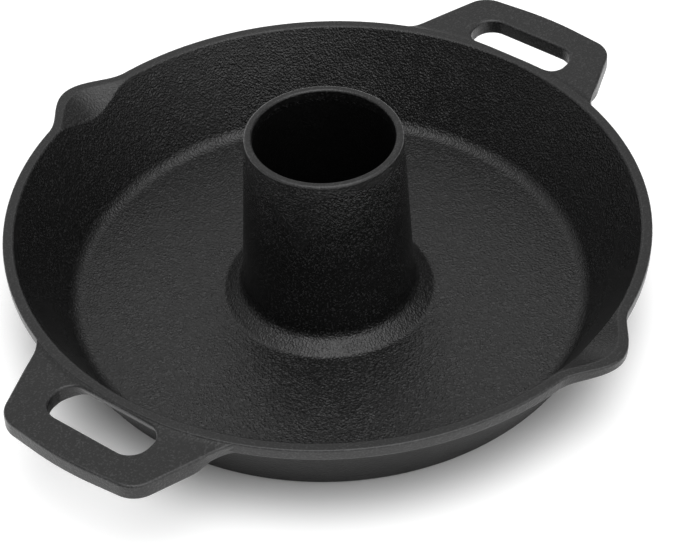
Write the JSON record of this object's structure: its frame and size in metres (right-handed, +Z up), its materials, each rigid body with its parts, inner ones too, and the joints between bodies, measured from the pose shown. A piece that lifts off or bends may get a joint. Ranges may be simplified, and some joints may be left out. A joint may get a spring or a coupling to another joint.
{
  "type": "vertical poultry roasting pan",
  "caption": "Round cast iron roasting pan with flared walls, a hollow upright cone at its centre, slotted loop handles and pouring lips.",
  "frame": {"origin": "centre of the flat underside, on the pan's axis", "axes": "+Z up the cone's axis, +X through the middle of one handle, +Y through the middle of one pouring spout"},
  "size_m": [0.3736, 0.323, 0.097],
  "materials": {
    "as_cast_iron": "seasoned black, fine sand-cast pebble, matt",
    "dressed_iron": "seasoned black, dressed smoother on the rim, lips, spouts and handles"
  },
  "bodies": {
    "root": {"cooking_floor": "as_cast_iron", "wall_right": "as_cast_iron", "wall_back": "as_cast_iron", "wall_left": "as_cast_iron", "wall_front": "as_cast_iron", "rim_right": "dressed_iron", "rim_left": "dressed_iron", "spout_back": "dressed_iron", "spout_front": "dressed_iron", "handle_right": "dressed_iron", "handle_left": "dressed_iron", "cone_root": "as_cast_iron", "cone_wall": "as_cast_iron", "cone_lip": "dressed_iron", "cup_floor": "as_cast_iron"}
  },
  "joints": []
}
